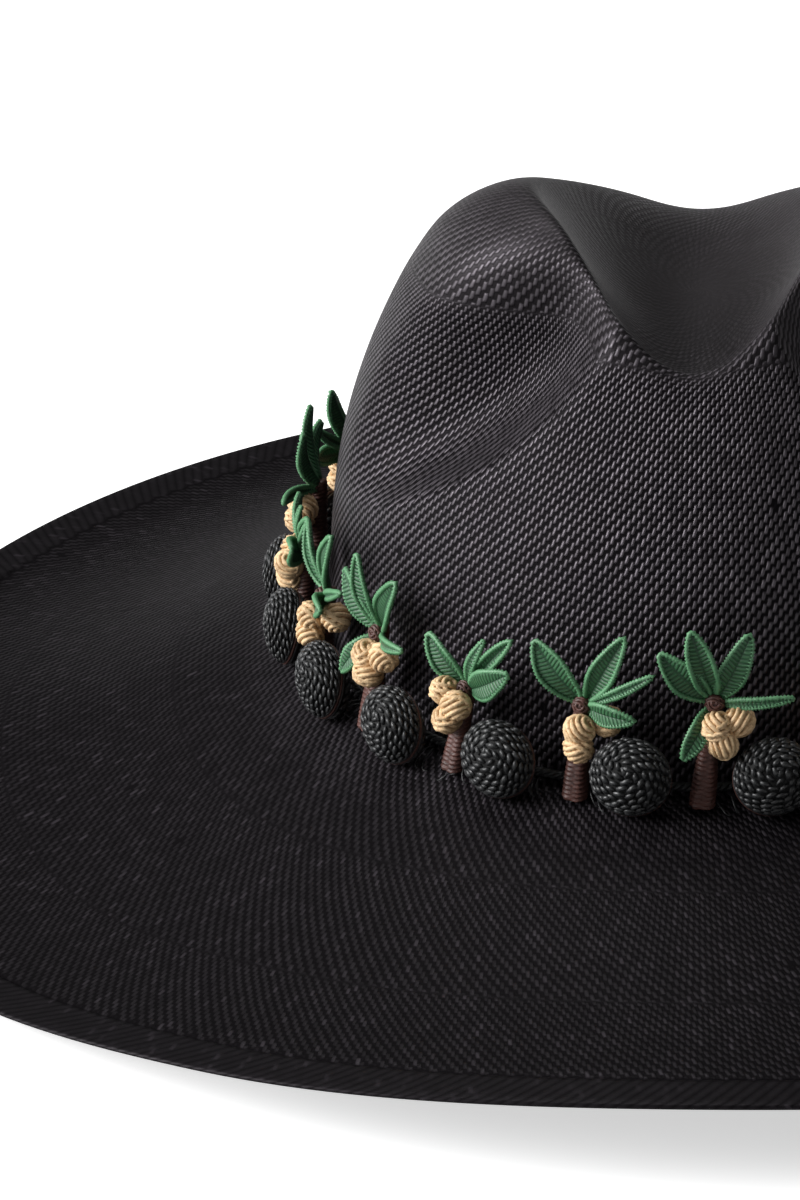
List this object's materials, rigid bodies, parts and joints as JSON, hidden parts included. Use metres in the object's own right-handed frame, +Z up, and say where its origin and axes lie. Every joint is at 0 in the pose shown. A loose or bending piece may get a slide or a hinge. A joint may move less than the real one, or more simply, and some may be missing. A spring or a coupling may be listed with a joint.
{
  "type": "wide-brim straw hat",
  "caption": "Black woven wide-brim hat with a creased, pinched crown, a back-woven brim border, and a trim of raffia palm trees and woven straw balls round the crown's foot.",
  "frame": {"origin": "on the table, under the middle of the hat's bounding box, which is also the middle of the head opening", "axes": "+Z up out of the top of the crown, -Y towards the hat's front, where the two pinches are, +X towards the wearer's left"},
  "size_m": [0.412, 0.442, 0.144],
  "materials": {
    "straw": "fine diagonal weave of black palm straw, satin",
    "raffia": "wound and plaited black straw, satin",
    "palm": "stitched green raffia leaves, tan nuts and a brown wound trunk"
  },
  "bodies": {
    "root": {"straw_body": "straw", "trim_cord": "raffia", "palm_01": "palm", "palm_02": "palm", "palm_03": "palm", "palm_04": "palm", "palm_05": "palm", "palm_06": "palm", "palm_07": "palm", "palm_08": "palm", "palm_09": "palm", "palm_10": "palm", "palm_11": "palm", "palm_12": "palm", "palm_13": "palm", "palm_14": "palm", "palm_15": "palm", "palm_16": "palm", "palm_17": "palm", "palm_18": "palm", "palm_19": "palm", "palm_20": "palm", "palm_21": "palm", "ball_01": "raffia", "ball_02": "raffia", "ball_03": "raffia", "ball_04": "raffia", "ball_05": "raffia", "ball_06": "raffia", "ball_07": "raffia", "ball_08": "raffia", "ball_09": "raffia", "ball_10": "raffia", "ball_11": "raffia", "ball_12": "raffia", "ball_13": "raffia", "ball_14": "raffia", "ball_15": "raffia", "ball_16": "raffia", "ball_17": "raffia", "ball_18": "raffia", "ball_19": "raffia", "ball_20": "raffia", "ball_21": "raffia"}
  },
  "joints": []
}
